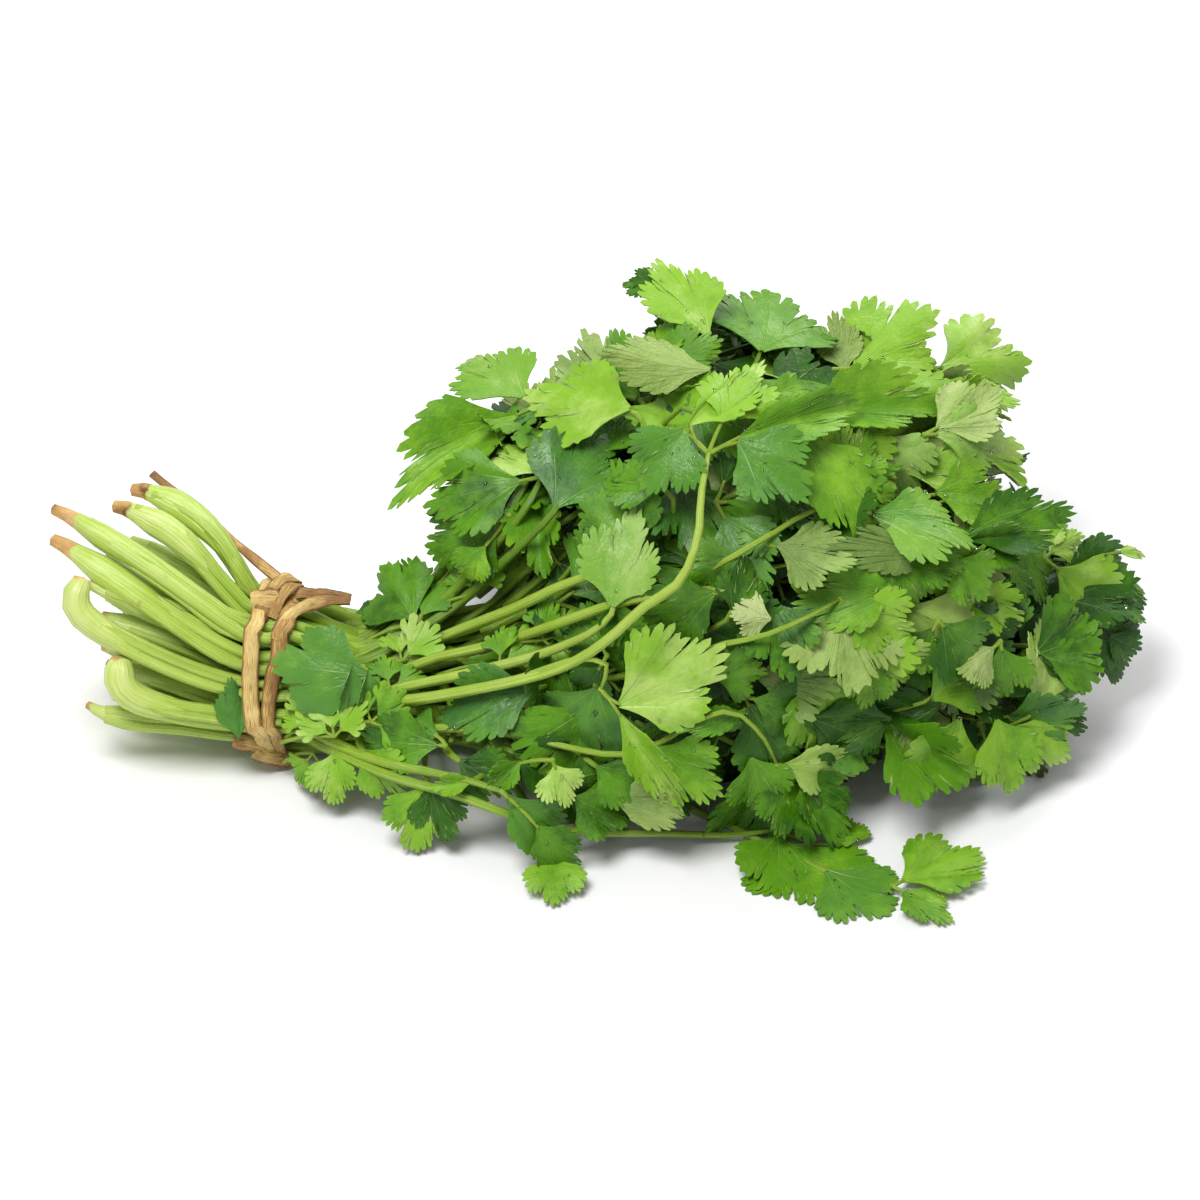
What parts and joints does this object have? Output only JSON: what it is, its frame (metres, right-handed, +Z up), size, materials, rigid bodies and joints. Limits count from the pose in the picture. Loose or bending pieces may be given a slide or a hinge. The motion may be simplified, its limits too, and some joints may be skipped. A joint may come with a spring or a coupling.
{
  "type": "coriander bunch",
  "caption": "Tied bunch of fresh coriander lying on its side: pale root crowns and stems through a straw tie, opening into a fan of lobed, toothed leaves.",
  "frame": {"origin": "middle of the base of the bunch's box, on the surface it lies on", "axes": "+Z up from the surface, +X along the bunch from the root ends to the leaf tips"},
  "size_m": [0.3004, 0.1914, 0.1035],
  "materials": {
    "stem": "fresh moist stem, smooth, soft sheen",
    "leaf": "fresh leaf, satin, slightly wet",
    "straw": "dried reed strip, matt with a faint sheen"
  },
  "bodies": {
    "root": {"stem_01": "stem", "stem_02": "stem", "stem_03": "stem", "stem_04": "stem", "stem_05": "stem", "stem_06": "stem", "stem_07": "stem", "stem_08": "stem", "stem_09": "stem", "stem_10": "stem", "stem_11": "stem", "stem_12": "stem", "stem_13": "stem", "stem_14": "stem", "stem_15": "stem", "stem_16": "stem", "stem_17": "stem", "stem_18": "stem", "stem_19": "stem", "stem_20": "stem", "stem_21": "stem", "stem_22": "stem", "stem_23": "stem", "stem_24": "stem", "stem_25": "stem", "stem_26": "stem", "stem_27": "stem", "leaf_spray_01": "leaf", "leaf_spray_02": "leaf", "leaf_spray_03": "leaf", "leaf_spray_04": "leaf", "leaf_spray_05": "leaf", "leaf_spray_06": "leaf", "leaf_spray_07": "leaf", "leaf_spray_08": "leaf", "leaf_spray_09": "leaf", "leaf_spray_10": "leaf", "leaf_spray_11": "leaf", "leaf_spray_12": "leaf", "leaf_spray_13": "leaf", "leaf_spray_14": "leaf", "leaf_spray_15": "leaf", "leaf_spray_16": "leaf", "leaf_spray_17": "leaf", "leaf_spray_18": "leaf", "leaf_spray_19": "leaf", "leaf_spray_20": "leaf", "leaf_spray_21": "leaf", "leaf_spray_22": "leaf", "leaf_spray_23": "leaf", "leaf_spray_24": "leaf", "leaf_spray_25": "leaf", "leaf_spray_26": "leaf", "leaf_spray_27": "leaf", "tie_leaf": "leaf", "straw_tie": "straw"}
  },
  "joints": []
}
